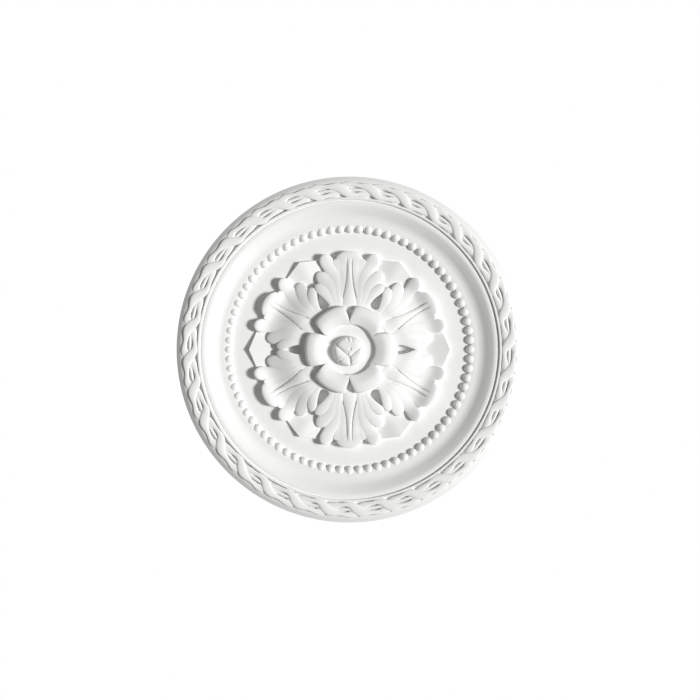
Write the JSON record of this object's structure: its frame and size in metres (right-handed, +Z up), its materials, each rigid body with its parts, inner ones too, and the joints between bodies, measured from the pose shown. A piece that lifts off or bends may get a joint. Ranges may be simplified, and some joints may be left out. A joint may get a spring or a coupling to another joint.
{
  "type": "ceiling rose",
  "caption": "Round moulded ceiling rose with a raised flower, acanthus leaves, a bead ring, a cove and a twisted ribbon rim.",
  "frame": {"origin": "centre of the flat back, on the ceiling", "axes": "+Z up into the ceiling, square to the flat back; the carved face looks down (-Z); a leaf points along +Y and another along -Y"},
  "size_m": [0.305, 0.305, 0.031],
  "materials": {
    "moulding": "white factory primer on moulded polyurethane foam, matt"
  },
  "bodies": {
    "root": {"ceiling_rose": "moulding"}
  },
  "joints": []
}
